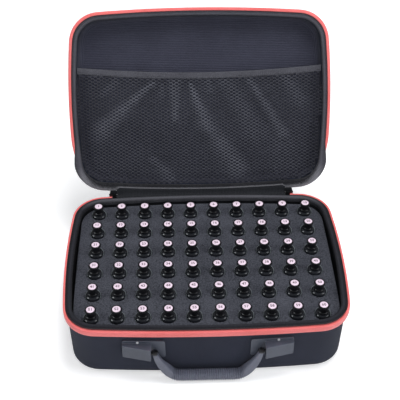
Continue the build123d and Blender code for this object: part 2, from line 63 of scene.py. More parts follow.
LID_ORIGIN = HINGE + RUN * HINGE_REACH - FACING * HINGE_RISE
GAP_X, GAP_STEPS = 126.5, 48


# Rim coordinates have +y on the hinge side and z up out of the hollow
def in_base(points):
    return np.asarray(points, float) + np.array([0, 0, BASE_DEPTH])


def in_lid(points):
    p = np.asarray(points, float)
    world = LID_ORIGIN + p[:, 1:2] * -RUN + p[:, 2:3] * FACING
    world[:, 0] = p[:, 0]
    return world


def as_is(points):
    return np.asarray(points, float)


# Lines and outlines
def lengths(line):
    """The run along a line of points, from 0 at its first."""
    return np.r_[0, np.cumsum(np.linalg.norm(np.diff(line, axis=0), axis=1))]


def resampled(at, run, line):
    """Points of a line at given lengths of its run."""
    return np.c_[np.interp(at, run, line[:, 0]), np.interp(at, run, line[:, 1])]


def unit(vector):
    return vector / np.linalg.norm(vector)


def eased(share):
    return share * share * (3 - 2 * share)


def arc_radius(half_chord, bow):
    return (half_chord**2 + bow**2) / (2 * bow)


def bowed_quarter(half_x, half_y, radius, bow_x, bow_y):
    """A quarter of an outline with four bowed sides and round corners.

    Gives the long side's y at an x, the short side's x at a y, the corner's points by their count, and the x
    and y where the sides meet the corner.
    """
    r1, r2 = arc_radius(half_y - bow_y, bow_x), arc_radius(half_x - bow_x, bow_y)
    a, b = half_x - r1, half_y - r2
    d1, d2 = r1 - radius, r2 - radius
    # the corner's centre is d1 from (a, 0) and d2 from (0, b)
    base = math.hypot(a, b)
    along = (d1**2 - d2**2 + base**2) / (2 * base)
    off = math.sqrt(d1**2 - along**2)
    ux, uy = -a / base, b / base
    cx, cy = a + ux * along + uy * off, uy * along - ux * off
    if cx < 0 or cy < 0:
        cx, cy = a + ux * along - uy * off, uy * along + ux * off
    low, high = math.atan2(cy, cx - a), math.atan2(cy - b, cx)

    def long_side(x):
        return b + np.sqrt(r2**2 - x**2)

    def short_side(y):
        return a + np.sqrt(r1**2 - y**2)

    def corner(count):
        turn = np.linspace(high, low, count)
        return np.c_[cx + radius * np.cos(turn), cy + radius * np.sin(turn)]

    return long_side, short_side, corner, r2 * cx / d2, r1 * cy / d1


def outline(inset):
    """Points of the rim's outline, from the hinge gap's left end round the front, then across the gap."""
    half_x, half_y, radius = HALF_LENGTH - inset, HALF_WIDTH - inset, max(CORNER - inset, 4.5)
    long_side, short_side, corner, tx, ty = bowed_quarter(half_x, half_y, radius, SIDE_BOW, FRONT_BOW)
    edge = np.linspace(tx, GAP_X, 5)
    front = np.linspace(-tx, tx, 64)
    ends = np.linspace(ty, -ty, 44)
    gap = np.linspace(GAP_X, -GAP_X, GAP_STEPS + 2)[1:-1]
    shoulder, flank, bend = np.c_[edge, long_side(edge)], np.c_[short_side(ends), ends], corner(16)[1:-1]
    left, below = np.array([-1, 1]), np.array([1, -1])
    return np.vstack([
        shoulder[::-1] * left, bend * left, flank * left, -bend[::-1], np.c_[front, -long_side(front)],
        bend * below, flank[::-1], bend[::-1], shoulder, np.c_[gap, long_side(gap)],
    ])


OPEN_COUNT = len(outline(0)) - GAP_STEPS


def ring_grid(profile, closed=True):
    """Rings of points for a profile of (inset, z) pairs."""
    count = None if closed else OPEN_COUNT
    rings = [np.insert(outline(inset)[:count], 2, z, axis=1) for inset, z in profile]
    return np.array(rings)


# Objects, with their points in millimetres
def linked(name, data):
    obj = bpy.data.objects.new(name, data)
    bpy.context.scene.collection.objects.link(obj)
    return obj


def mesh_from(name, verts, faces, loop_uv=None, smooth=True):
    data = bpy.data.meshes.new(name)
    data.from_pydata((np.asarray(verts) * 0.001).tolist(), [], faces)
    if loop_uv is not None:
        layer = data.uv_layers.new(name="run")
        layer.data.foreach_set("uv", np.asarray(loop_uv, np.float32).ravel())
    if smooth:
        data.shade_smooth()
    return linked(name, data)


def grid_piece(name, grid, place, flip=False, tube=True, closed=False, flat_uv=False):
    """A closed skin through a grid: rows along the profile, columns along the run, measured in metres.

    A tube's profile is a loop, and its run is closed or has capped ends. A tray's run is closed, and its
    first and last rows are capped.
    """
    rows, cols = grid.shape[:2]
    pts = grid.reshape(-1, 3)
    counts = rows if tube else rows - 1, cols if closed else cols - 1
    i, j = (steps.ravel() for steps in np.indices(counts))
    i2, j2 = (i + 1) % rows, (j + 1) % cols
    quads = np.c_[i * cols + j, i * cols + j2, i2 * cols + j2, i2 * cols + j]
    along, across = grid[rows // 2], grid[:, cols // 3]
    u = lengths(np.vstack([along, along[:1]])) * 0.001
    v = lengths(np.vstack([across, across[:1]])) * 0.001
    corners = ((j, i), (j + 1, i), (j + 1, i + 1), (j, i + 1))
    uv = np.stack([np.c_[u[p], v[q]] for p, q in corners], axis=1)
    if flat_uv:
        level = np.ptp(pts[quads][:, :, 2], axis=1) < 1e-6
        uv[level] = pts[quads][level][:, :, :2] * 0.001
    if flip:
        quads, uv = quads[:, ::-1], uv[:, ::-1]
    caps = []
    if not tube:
        caps = [[(rows - 1) * cols + c for c in range(cols)], list(range(cols))[::-1]]
    elif not closed:
        caps = [[r * cols for r in range(rows)][::-1], [r * cols + cols - 1 for r in range(rows)]]
    faces, uvs = quads.tolist(), [uv.reshape(-1, 2)]
    for cap in caps:
        face = cap[::-1] if flip else cap
        faces.append(face)
        uvs.append(pts[face][:, :2] * 0.001)
    return mesh_from(name, place(pts), faces, np.vstack(uvs))


def joined(name, parts, smooth=True):
    """One mesh from several (verts, faces) pairs."""
    verts, faces, base = [], [], 0
    for v, f in parts:
        verts.append(np.asarray(v, float))
        faces += [[k + base for k in face] for face in f]
        base += len(v)
    return mesh_from(name, np.vstack(verts), faces, smooth=smooth)


def ladder(a, b):
    """Quads between two closed rings of vertices."""
    return [list(quad) for quad in zip(a, a[1:] + a[:1], b[1:] + b[:1], b)]


# Materials
class Shader:
    """A Principled material with short calls for its nodes."""

    def __init__(self, name, colour, rough, **sockets):
        self.mat = bpy.data.materials.new(name)
        self.mat.use_nodes = True
        self.tree = self.mat.node_tree
        self.tree.nodes.clear()
        self.out = self.tree.nodes.new("ShaderNodeOutputMaterial")
        self.bsdf = self.tree.nodes.new("ShaderNodeBsdfPrincipled")
        self.tree.links.new(self.bsdf.outputs[0], self.out.inputs[0])
        self.bsdf.inputs["Base Color"].default_value = (*colour, 1)
        self.bsdf.inputs["Roughness"].default_value = rough
        for key, value in sockets.items():
            self.bsdf.inputs[key.replace("_", " ")].default_value = value

    def node(self, kind, **values):
        n = self.tree.nodes.new("ShaderNode" + kind)
        for key, value in values.items():
            if key in n.inputs:
                self.put(n.inputs[key], value)
            else:
                setattr(n, key, value)
        return n

    def put(self, socket, value):
        if isinstance(value, bpy.types.NodeSocket):
            self.tree.links.new(value, socket)
        else:
            socket.default_value = value

    def math(self, op, a, b=0.0, c=None):
        n = self.tree.nodes.new("ShaderNodeMath")
        n.operation = op
        self.put(n.inputs[0], a)
        self.put(n.inputs[1], b)
        if c is not None:
            self.put(n.inputs[2], c)
        return n.outputs[0]

    def add(self, base, *terms):
        """The base plus each value times its weight."""
        for value, weight in terms:
            base = self.math("MULTIPLY_ADD", value, weight, base)
        return base

    def share(self, value, start, end):
        """How far a value is from start to end, kept between 0 and 1."""
        way = self.math("DIVIDE", self.math("SUBTRACT", value, start), end - start)
        return self.math("MINIMUM", self.math("MAXIMUM", way, 0.0), 1.0)

    def run_uv(self):
        split = self.node("SeparateXYZ", Vector=self.node("UVMap", uv_map="run").outputs[0])
        return split.outputs[0], split.outputs[1]

    def place(self):
        return self.node("TexCoord").outputs["Object"]

    def place_xyz(self):
        split = self.node("SeparateXYZ", Vector=self.place())
        return split.outputs[0], split.outputs[1], split.outputs[2]

    def wave(self, value, pitch, phase=0.0):
        return self.math("SINE", self.math("MULTIPLY_ADD", value, 2 * math.pi / pitch, phase))

    def noise(self, scale, detail=3.0, rough=0.55, vector=None):
        n = self.node("TexNoise", Scale=scale, Detail=detail, Roughness=rough)
        self.put(n.inputs["Vector"], vector or self.place())
        return n.outputs[0]

    def ramp(self, factor, low, high, dark, light):
        n = self.tree.nodes.new("ShaderNodeValToRGB")
        n.color_ramp.elements[0].position = low
        n.color_ramp.elements[1].position = high
        n.color_ramp.elements[0].color = (*dark, 1)
        n.color_ramp.elements[1].color = (*light, 1)
        self.put(n.inputs[0], factor)
        return n.outputs[0]

    def colour(self, socket):
        self.put(self.bsdf.inputs["Base Color"], socket)

    def over(self, factor, colour):
        """Lay another colour over the present one by a factor."""
        mix = self.node("MixRGB")
        self.put(mix.inputs[0], factor)
        self.put(mix.inputs[1], self.bsdf.inputs["Base Color"].links[0].from_socket)
        self.put(mix.inputs[2], colour)
        self.colour(mix.outputs[0])
        return mix

    def roughness(self, factor, low, high):
        n = self.node("MapRange")
        self.put(n.inputs[0], factor)
        n.inputs[3].default_value = low
        n.inputs[4].default_value = high
        self.put(self.bsdf.inputs["Roughness"], n.outputs[0])

    def bump(self, height, distance, strength=1.0, after=None):
        n = self.node("Bump", Strength=strength, Distance=distance)
        self.put(n.inputs["Height"], height)
        if after is not None:
            self.put(n.inputs["Normal"], after)
        self.put(self.bsdf.inputs["Normal"], n.outputs[0])
        return n.outputs[0]


def crowned(s, mix, across, painted_band):
    """A painted highlight along the cloth's crown, and how near the hinge side it is, where the painted light
    and shade change.
    """
    # by the band settings: painted shade over the cloth towards the hinge side, and a painted highlight along
    # the crown that moves and brightens there
    painted_hinge_mask = s.share(s.place_xyz()[painted_band["axis"]], painted_band["start"], painted_band["end"])
    mix = s.add(mix, (painted_hinge_mask, -painted_band["painted_shade"]))
    middle = s.add(painted_band["middle"], (painted_hinge_mask, painted_band["shift"]))
    strength = s.add(painted_band["strength"], (painted_hinge_mask, painted_band["highlight_boost"]))
    off = s.math("DIVIDE", s.math("ABSOLUTE", s.math("SUBTRACT", across, middle)), painted_band["half"])
    return s.add(mix, (s.math("MAXIMUM", s.math("SUBTRACT", 1.0, off), 0.0), strength)), painted_hinge_mask


def cloth(name, dark, light, rough, pitch=0.0011, depth=0.00018, ribs=None, rib_axis=0, grain=900.0,
          sheen=0.05, shine=0.2, painted_band=None, painted_fold_light=None):
    """Woven cloth: a plain weave along the run, slubs and a slow change of tone.

    ribs adds a coarser rib, the band settings a painted highlight with painted light and shade near the
    hinge, and the attribute painted light on the yarn where the attribute of that name says.
    """
    s = Shader(name, light, rough, Sheen_Weight=sheen, Sheen_Roughness=0.5, Specular_IOR_Level=shine)
    run = s.run_uv()
    weave = s.math("MULTIPLY", s.wave(run[0], pitch), s.wave(run[1], pitch))
    slub = s.noise(grain, 2.0, 0.6)
    mix = s.add(0.0, (s.noise(22.0, 4.0), 0.35), (slub, 0.75), (weave, 0.13))
    height = s.add(weave, (slub, 0.8))
    if ribs:
        rib = s.wave(run[rib_axis], ribs)
        mix = s.add(mix, (rib, 0.14))
        height = s.add(height, (rib, 1.6))
    if painted_band:
        mix, painted_hinge_share = crowned(s, mix, run[1], painted_band)
    s.colour(s.ramp(mix, 0.28, 0.95 if painted_band else 0.82, dark, light))
    # towards the hinge side the colours move to a second pair, which paints light and shade there
    if painted_band:
        s.over(painted_hinge_share, s.ramp(mix, 0.28, 0.95, painted_band["hinge_painted_dark"], painted_band["hinge_painted_light"]))
    # painted light: a paler copy of the yarn's colours where the attribute says, along the net's folds
    if painted_fold_light:
        painted_light_share = s.node("Attribute", attribute_name=painted_fold_light).outputs["Fac"]
        s.over(painted_light_share, s.ramp(mix, 0.28, 0.82, (0.045, 0.047, 0.058), (0.205, 0.212, 0.250)))
    s.bump(height, depth)
    return s.mat


def plain(name, colour, rough, dark, light, tone, gloss=None, bump=None, **sockets):
    """A plain material; tone is a noise scale, gloss a scale and its range, bump a scale and a height."""
    s = Shader(name, colour, rough, **sockets)
    s.colour(s.ramp(s.noise(tone), 0.3, 0.7, dark, light))
    if gloss:
        s.roughness(s.noise(gloss[0]), *gloss[1:])
    if bump:
        s.bump(s.noise(bump[0]), bump[1])
    return s.mat


def moulded(name, colour, rough, dark, light, scales, gloss):
    """Moulded rubber or plastic, a fine grain over a slow change of tone: its shader and its grain."""
    s = Shader(name, colour, rough)
    grain, slow = s.noise(scales[0], 3.0, 0.6), s.noise(scales[1], 3.0)
    s.colour(s.ramp(s.add(0.0, (slow, 0.5), (grain, 0.5)), 0.3, 0.72, dark, light))
    s.roughness(slow, *gloss)
    return s, grain


def tape_material():
    s = Shader("zip_tape_cloth", (0.90, 0.16, 0.14), 0.5, Sheen_Weight=0.25, Sheen_Roughness=0.4)
    u, v = s.run_uv()
    twill = s.wave(s.add(u, (v, 0.8)), 0.0010)
    fine = s.noise(1300.0, 2.0)
    mix = s.add(0.0, (fine, 0.4), (s.noise(16.0, 3.0), 0.5), (twill, 0.05))
    s.colour(s.ramp(mix, 0.25, 0.75, (0.76, 0.116, 0.108), (0.99, 0.238, 0.240)))
    s.bump(s.add(twill, (fine, 0.7)), 0.00010)
    return s.mat


def foam_material():
    s = Shader("foam_cells", (0.030, 0.030, 0.033), 0.93)
    cells = s.node("TexVoronoi", Scale=520.0)
    s.put(cells.inputs["Vector"], s.place())
    fine = s.noise(1400.0, 3.0, 0.7)
    mix = s.add(0.0, (s.noise(18.0, 3.0), 0.25), (cells.outputs[0], -0.35), (fine, 0.8))
    s.colour(s.ramp(mix, 0.15, 0.72, (0.010, 0.011, 0.015), (0.125, 0.130, 0.160)))
    s.bump(s.add(fine, (cells.outputs[0], 0.8)), 0.0005)
    return s.mat


def glass_material():
    """Dark glass with a painted reflection at its edge."""
    s = Shader("dark_glass", (0.006, 0.007, 0.009), 0.10, IOR=1.5, Specular_IOR_Level=0.5)
    s.colour(s.ramp(s.noise(60.0), 0.3, 0.7, (0.005, 0.006, 0.008), (0.012, 0.013, 0.017)))
    s.bump(s.noise(55.0, 1.0), 0.00012, 0.6)
    # painted reflection: a pale colour where the glass turns away from the view, at its edges
    edge = s.node("LayerWeight", Blend=0.5).outputs["Facing"]
    s.over(s.ramp(edge, 0.46, 0.78, (0, 0, 0), (1, 1, 1)), (0.29, 0.33, 0.34, 1))
    return s.mat


def label_material():
    s = Shader("label_paper", (0.86, 0.74, 0.80), 0.55)
    fibres = s.noise(1700.0, 4.0, 0.7)
    s.colour(s.ramp(fibres, 0.25, 0.75, (0.70, 0.555, 0.665), (0.80, 0.675, 0.765)))
    s.bump(fibres, 0.00003)
    return s.mat


def handle_material():
    """Rubber, with painted shade where the grip enters its brackets."""
    s, grain = moulded("handle_rubber", (0.135, 0.140, 0.160), 0.48, (0.078, 0.084, 0.112),
                       (0.142, 0.152, 0.200), (900.0, 30.0), (0.40, 0.60))
    s.bump(grain, 0.00007)
    # painted shade: near black over the arms' ends, above a height, where they enter the brackets
    s.over(s.share(s.place_xyz()[2], 0.0515, 0.0537), (0.006, 0.006, 0.008, 1))
    return s.mat


def bracket_material():
    """Plastic, with a painted highlight along its edges."""
    s, grain = moulded("bracket_plastic", (0.085, 0.092, 0.105), 0.5, (0.034, 0.039, 0.055),
                       (0.078, 0.088, 0.118), (1000.0, 34.0), (0.42, 0.62))
    # painted highlight: paler where the rounded normal turns away from the face's own, along the edges
    rounded = s.node("Bevel", samples=6, Radius=0.0009).outputs[0]
    level = s.node("VectorMath", operation="DOT_PRODUCT")
    s.put(level.inputs[0], rounded)
    s.put(level.inputs[1], s.node("NewGeometry").outputs["Normal"])
    painted_edge_highlight = s.math("MULTIPLY", s.math("SUBTRACT", 1.0, level.outputs["Value"]), 4.0)
    s.over(painted_edge_highlight, (0.19, 0.21, 0.26, 1)).use_clamp = True
    s.bump(grain, 0.00006, 1.0, rounded)
    return s.mat


BINDING = dict(rough=0.85, pitch=0.0009, depth=0.0002, ribs=0.0017)
# Painted light on the bindings: a painted highlight along the crown; towards the base's hinge side a paler
# copy of the colours, painted light, and towards the lid's hinge side painted shade with a brighter painted
# highlight moved outwards
BASE_PAINTED_LIGHT = dict(
    middle=0.0046, half=0.0022, strength=0.33, axis=1, start=0.095, end=0.118, painted_shade=0.0, shift=0.0,
    highlight_boost=0.15, hinge_painted_dark=(0.026, 0.026, 0.032), hinge_painted_light=(0.115, 0.115, 0.132),
)
LID_PAINTED_LIGHT = dict(
    middle=0.0046, half=0.0026, strength=0.42, axis=2, start=0.125, end=0.100, painted_shade=0.42, shift=-0.0034,
    highlight_boost=0.55, hinge_painted_dark=(0.012, 0.012, 0.015), hinge_painted_light=(0.250, 0.250, 0.275),
)
MAT = {
    "shell": cloth("case_cloth", (0.0115, 0.0135, 0.023), (0.031, 0.036, 0.060), 0.82, sheen=0.04),
    "lining": cloth(
        "lining_cloth", (0.025, 0.026, 0.040), (0.064, 0.066, 0.096), 0.86, ribs=0.0024, rib_axis=1),
    # the base's lining is a copy of the lining cloth, near black with painted shade
    "base_lining": cloth(
        "base_lining_cloth", (0.004, 0.004, 0.005), (0.016, 0.017, 0.022), 0.9, sheen=0.02, shine=0.1),
    # the two bindings are one cloth in two copies: the base's darker, with painted shade, and the lid's
    # paler, with painted light
    "base_binding": cloth(
        "base_binding_cloth", (0.007, 0.007, 0.009), (0.036, 0.036, 0.046), **BINDING, painted_band=BASE_PAINTED_LIGHT,
        shine=0.12, sheen=0.03),
    "lid_binding": cloth(
        "lid_binding_cloth", (0.014, 0.014, 0.018), (0.100, 0.098, 0.118), **BINDING, painted_band=LID_PAINTED_LIGHT),
    "strip": cloth(
        "strip_cloth", (0.006, 0.007, 0.009), (0.022, 0.023, 0.028), 0.86, 0.0010, 0.0002, ribs=0.0021),
    # the strip's ends are a darker copy of the strip cloth, with painted shade
    "strip_end": cloth(
        "strip_end_cloth", (0.004, 0.004, 0.005), (0.014, 0.015, 0.018), 0.9, 0.0010, 0.0002, sheen=0.02,
        shine=0.1),
    "elastic": cloth(
        "elastic_cloth", (0.050, 0.050, 0.062), (0.140, 0.140, 0.165), 0.84, 0.0009, 0.00022, ribs=0.0016),
    # the net's yarn gets painted highlights along its folds and painted shade at its sewn edges
    "net": cloth(
        "net_yarn", (0.007, 0.007, 0.010), (0.052, 0.053, 0.069), 0.6, 0.0006, 0.00008, grain=1500.0,
        shine=0.3, painted_fold_light="shine"),
    "tape": tape_material(),
    "coil": plain(
        "coil_nylon", (0.020, 0.020, 0.023), 0.38, (0.013, 0.013, 0.015), (0.035, 0.035, 0.039), 500.0,
        (260.0, 0.28, 0.5), (2200.0, 0.00004)),
    "foam": foam_material(),
    "glass": glass_material(),
    "cap": plain(
        "cap_phenolic", (0.006, 0.006, 0.008), 0.3, (0.003, 0.003, 0.004), (0.008, 0.008, 0.010), 90.0,
        (140.0, 0.22, 0.38), (1200.0, 0.00002), Specular_IOR_Level=0.35),
    "label": label_material(),
    "ink": plain("print_ink", (0.10, 0.055, 0.075), 0.6, (0.07, 0.04, 0.055), (0.16, 0.09, 0.12), 1500.0),
    "handle": handle_material(),
    "bracket": bracket_material(),
    "slider": plain(
        "slider_metal", (0.045, 0.046, 0.050), 0.34, (0.030, 0.031, 0.034), (0.085, 0.087, 0.094), 300.0,
        (220.0, 0.25, 0.45), (900.0, 0.00003), Metallic=0.85),
    "rivet": plain(
        "rivet_steel", (0.80, 0.81, 0.83), 0.4, (0.70, 0.71, 0.73), (0.90, 0.91, 0.93), 700.0,
        (500.0, 0.30, 0.50), Metallic=0.35),
}


def paint(obj, key):
    obj.data.materials.clear()
    obj.data.materials.append(MAT[key])


def settle(obj, key, body, slot, *nodes):
    """Give a new piece its material and body, and hide the nodes that it stands for; slot is not used."""
    paint(obj, key)
    if nodes:
        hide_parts(*nodes)
    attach(obj, body)
    return obj


# Moulded shells, with their linings
PLACES = {"base": in_base, "lid": in_lid}
FORMS = {
    "base": dict(depth=BASE_DEPTH, band=16.0, lean=1.5, bend=13.0),
    "lid": dict(depth=LID_DEPTH, band=12.0, lean=5.0, bend=12.0),
}


def wall_profile(form, inset, floor, top):
    """(inset, z) points down a moulded wall and round its bend, ending on the flat floor."""
    depth, lean = form["depth"] - floor, form["lean"]
    bend = max(form["bend"] - floor, 4.0)
    fall = depth - form["band"]
    slope = math.atan2(lean, fall)
    points = [(inset, z) for z in np.linspace(top, -form["band"], 4)]
    # the bend's centre sits one radius in from the wall and up from the floor
    centre_z = -depth + bend
    centre_inset = inset + lean * (depth - bend - form["band"]) / fall + bend / math.cos(slope)
    for z in np.linspace(-form["band"], centre_z + bend * math.sin(slope), 8)[1:-1]:
        points.append((inset + lean * (-form["band"] - z) / fall, z))
    for turn in np.linspace(-slope, math.pi / 2, 10):
        points.append((centre_inset - bend * math.cos(turn), centre_z - bend * math.sin(turn)))
    return points


def floor_rings(grid):
    """More rings that shrink the last one towards the middle of the floor."""
    extra = [grid[-1] * [share, share, 1.0] for share in (0.94, 0.8, 0.55, 0.25)]
    return np.concatenate([grid, extra])


def tray_piece(body, kind, key, slot, outside, inside, top):
    """A moulded tray as one closed skin; outside and inside are (inset, floor) pairs."""
    outer = floor_rings(ring_grid(wall_profile(FORMS[body], *outside, top)))
    inner = floor_rings(ring_grid(wall_profile(FORMS[body], *inside, top)))[::-1]
    obj = grid_piece(f"{body}_{kind}_cloth", np.concatenate([inner, outer]), PLACES[body], body == "base",
                     tube=False, closed=True, flat_uv=True)
    settle(obj, key, body, slot, f"{body}_{kind}")


for body, lining in (("base", "base_lining"), ("lid", "lining")):
    tray_piece(body, "shell", "shell", "case_fabric", (4.5, 0.0), (8.5, 4.0), -1.25)
    tray_piece(body, "lining", lining, "lining_fabric", (8.52, 4.02), (9.3, 4.8), -6.0)


def rounded_loop(points, radius, steps=4):
    """A closed loop of (inset, z) corners with rounded corners; radius may be one per corner."""
    loop = []
    points = np.array(points, float)
    radii = np.broadcast_to(radius, len(points))
    for p, q, r, size in zip(np.roll(points, 1, axis=0), points, np.roll(points, -1, axis=0), radii):
        a, b = unit(p - q), unit(r - q)
        half = math.acos(np.clip(a @ b, -1, 1)) / 2
        reach = min(size / math.tan(half), 0.48 * np.linalg.norm(p - q), 0.48 * np.linalg.norm(r - q))
        start, end = q + a * reach, q + b * reach
        for t in np.linspace(0, 1, steps):
            loop.append((1 - t) ** 2 * start + 2 * t * (1 - t) * q + t * t * end)
    return loop


def band_piece(name, body, key, slot, nodes, corners, radius, closed=False, other=None, share=None):
    """A band of one section round the rim; share says where along the run it turns into another section."""
    grid = ring_grid(rounded_loop(corners, radius), closed)
    if other:
        part = share[None, : grid.shape[1], None]
        grid = grid * (1 - part) + ring_grid(rounded_loop(other, radius), closed) * part
    # the base's bands are wound the other way from the lid's, and closed ones the other way from open ones
    obj = grid_piece(name, grid, PLACES[body], (body == "base") == closed, closed=closed)
    settle(obj, key, body, slot, *nodes)


# Where the run turns to the hinge side, where it crosses the front, and where it lies beside the hinge strip
RIM_X, RIM_Y = outline(0).T
HINGE_SIDE = eased(np.clip((RIM_Y - 50.0) / 44.0, 0, 1))
FRONT_SIDE = np.clip((-90.0 - RIM_Y) / 30.0, 0, 1)
BESIDE_STRIP = HINGE_SIDE * np.where(RIM_Y > 100, np.clip((np.abs(RIM_X) - 119.8) / 1.5, 0, 1), 1)

# Rim bindings: a padded fold of cloth over each rim; at the lid's hinge side it covers the tape as well
fold = [(10.7, -1.5), (10.7, -7.0), (8.6, -7.0)]
base_binding = [(4.0, -1.25), (4.0, -0.75), (5.6, -0.15), (8.6, -0.15), *fold, (8.6, -1.25)]
lid_binding = [(4.9, -1.2), (4.9, -0.75), (6.3, -0.15), (8.8, -0.15), *fold, (8.6, -1.2)]
wide_binding = [(0.3, -4.2), (0.1, -2.0), (2.6, -0.15), (8.6, -0.15), *fold, (8.6, -1.2)]
radii = [0.2, 0.4, 1.4, 1.6, 1.2, 0.8, 0.3, 0.2]
band_piece("base_binding_cloth", "base", "base_binding", "binding_fabric", ["base_rim_binding"],
           base_binding, radii, True)
band_piece("lid_binding_cloth", "lid", "lid_binding", "binding_fabric", ["lid_rim_binding"],
           lid_binding, radii, True, wide_binding, BESIDE_STRIP)

# Zip tapes: a round bulging band outside each rim, open along the hinge; the base's is lower across the
# front, and the lid's tucks in at the hinge side
base_tape = [(0.0, -0.4), (0.0, -11.05), (4.45, -11.05), (4.45, -2.3), (2.75, -2.3), (2.75, -0.4)]
front_tape = [(0.0, -3.1), (0.0, -12.4), (4.45, -12.4), (4.45, -3.5), (1.9, -3.5), (1.9, -3.0)]
lid_tape = [(0.0, -0.5), (0.0, -11.05), (4.45, -11.05), (4.45, -1.9), (4.2, -1.9), (4.2, -0.6)]
tucked_tape = [(3.9, -4.4), (3.9, -9.6), (4.45, -9.6), (4.45, -4.6), (4.43, -4.5), (4.4, -4.4)]
radii = [2.1, 2.6, 0.3, 0.1, 0.1, 0.7]
band_piece("base_tape_cloth", "base", "tape", "zip_tape_red", ["base_zip_tape"],
           base_tape, radii, False, front_tape, FRONT_SIDE)
band_piece("lid_tape_cloth", "lid", "tape", "zip_tape_red", ["lid_zip_tape"],
           lid_tape, radii, False, tucked_tape, HINGE_SIDE)

# Zip coils: short bent teeth on a cord
TOOTH_PITCH, TOOTH_HALF = 1.7, 0.5


def teeth_piece(body, inset, half_width):
    """A coil's teeth along the rim."""
    line = outline(inset)[:OPEN_COUNT]
    length = lengths(line)
    count = int(length[-1] / TOOTH_PITCH)
    at = (np.arange(count) + 0.5) * length[-1] / count
    middle = resampled(at, length, line)
    t = resampled(at + 0.3, length, line) - middle
    t /= np.linalg.norm(t, axis=1)[:, None]
    n = np.c_[t[:, 1], -t[:, 0]]
    # a tooth's section is an arch in (outward, z)
    arch = np.array([(-1, -1.15), (-1, -0.65), (-0.55, -0.25), (0.55, -0.25), (1, -0.65), (1, -1.15)])
    verts, faces = [], []
    for k in range(count):
        base = len(verts)
        for out, z in arch * [half_width, 1]:
            for side in (-TOOTH_HALF, TOOTH_HALF):
                p = middle[k] + n[k] * out + t[k] * side * (0.75 if z > -0.5 else 1.0)
                verts.append((*p, z))
        for m in range(6):
            a, b = base + 2 * m, base + 2 * ((m + 1) % 6)
            faces.append([a, a + 1, b + 1, b])
        faces.append([base + 2 * m for m in range(6)][::-1])
        faces.append([base + 2 * m + 1 for m in range(6)])
    return mesh_from(f"{body}_coil_teeth", PLACES[body](np.array(verts)), faces, smooth=False)


for body, inset, half_width, low in (("base", 3.42, 0.5, -2.2), ("lid", 4.55, 0.26, -1.22)):
    inner, outer = inset - half_width, inset + half_width
    cord = [(inner, low), (inner, -1.0), (outer, -1.0), (outer, low)]
    band_piece(f"{body}_coil_cord", body, "coil", "zip_coil_dark", [], cord, 0.2)
    settle(teeth_piece(body, inset, half_width), "coil", body, "zip_coil_dark", f"{body}_zip_coil")

# Hinge strip: one cloth that folds on the hinge line
STRIP_HALF, STRIP_INSET, STRIP_THICKNESS = 119.95, 3.9, 1.0
ring = outline(STRIP_INSET)
ring = ring[ring[:, 1] > 100]
BACK = ring[np.argsort(ring[:, 0])].T


def strip_line(x):
    """The strip's middle at one x, from the base's wall over the fold to the lid's wall."""
    y = np.interp(x, *BACK)
    half = [(x, y, z) for z in np.linspace(-13.2, -2.6, 7)]
    half += [(x, y + 0.25, -1.2), (x, y + 0.9, -0.78)]
    for share in (0.35, 0.65, 0.9):
        half.append((x, y + 0.9 + (HALF_WIDTH - y - 0.9) * share, -0.75 - 0.25 * math.sin(math.pi * share)))
    return np.vstack([in_base(half), HINGE + np.array([x, 0.1, -0.25]), in_lid(half)[::-1]])


def strip_piece():
    columns = []
    for x in np.linspace(-STRIP_HALF, STRIP_HALF, 70):
        line = strip_line(x)
        step = np.gradient(line, axis=0)
        across = np.c_[np.zeros(len(line)), -step[:, 2], step[:, 1]]
        across *= STRIP_THICKNESS / 2 / np.linalg.norm(across, axis=1)[:, None]
        columns.append(np.vstack([line + across, (line - across)[::-1]]))
    return grid_piece("hinge_cloth", np.array(columns).transpose(1, 0, 2), as_is)


strip = strip_piece()
paint(strip, "strip")
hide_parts("hinge_strip")
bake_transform(strip)

# The strip's two ends: a small stiff fold stands over each slider
END_Y, END_Z = 128.7, 93.2
loop = rounded_loop([(126.2, 91.95), (131.2, 91.95), (131.2, 94.9), (129.9, 96.0), (126.9, 95.2)], 0.7)
end_x = np.array([119.3, 121.5, 124.0, 126.5, 128.6, 129.3, 129.6])
shrink = np.array([1, 1, 1, 1, 0.96, 0.85, 0.6])
for way, side in ((-1, "left"), (1, "right")):
    grid = [np.c_[way * end_x, END_Y + (y - END_Y) * shrink, END_Z + (z - END_Z) * shrink] for y, z in loop]
    end = grid_piece(f"hinge_cloth_end_{side}", np.array(grid), as_is, flip=way > 0)
    settle(end, "strip_end", "base", "case_fabric")
    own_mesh(end)

# Foam pad and insert
PITCH_X, PITCH_Y = 32.0, 38.5
COLUMNS = [PITCH_X * (n - 4.5) for n in range(10)]
ROWS = [PITCH_Y * (n - 2.5) for n in range(6)]
FOAM_HALF_X, FOAM_HALF_Y, FOAM_CORNER, FOAM_SIDE_BOW = 168.0, 116.9, 33.0, 1.5
FOAM_TOP, FOAM_FOOT, FOOT_DRAW, BORE = 80.0, 10.9, 1.2, 10.65

pad_grid = ring_grid([(18.0, -85.15), (12.5, -83.0), (11.4, -80.4), (11.3, -79.25)])
pad_grid = np.concatenate([pad_grid, pad_grid[-1:] * np.array([0.97, 0.97, 1.0])])
pad = grid_piece("foam_pad", pad_grid, in_base, tube=False, closed=True)
settle(pad, "foam", "base", "foam_dark", "foam_base_pad")


def foam_edge():
    """A quarter of the foam's outline as dense points, from the back's middle to the side's middle."""
    long_side, short_side, corner, tx, ty = bowed_quarter(
        FOAM_HALF_X, FOAM_HALF_Y, FOAM_CORNER, FOAM_SIDE_BOW, FRONT_BOW)
    x = np.linspace(0, tx, 60, endpoint=False)
    y = np.linspace(ty, 0, 60)[1:]
    return np.vstack([np.c_[x, long_side(x)], corner(40), np.c_[short_side(y), y]])


EDGE = foam_edge()
EDGE_RUN = lengths(EDGE)


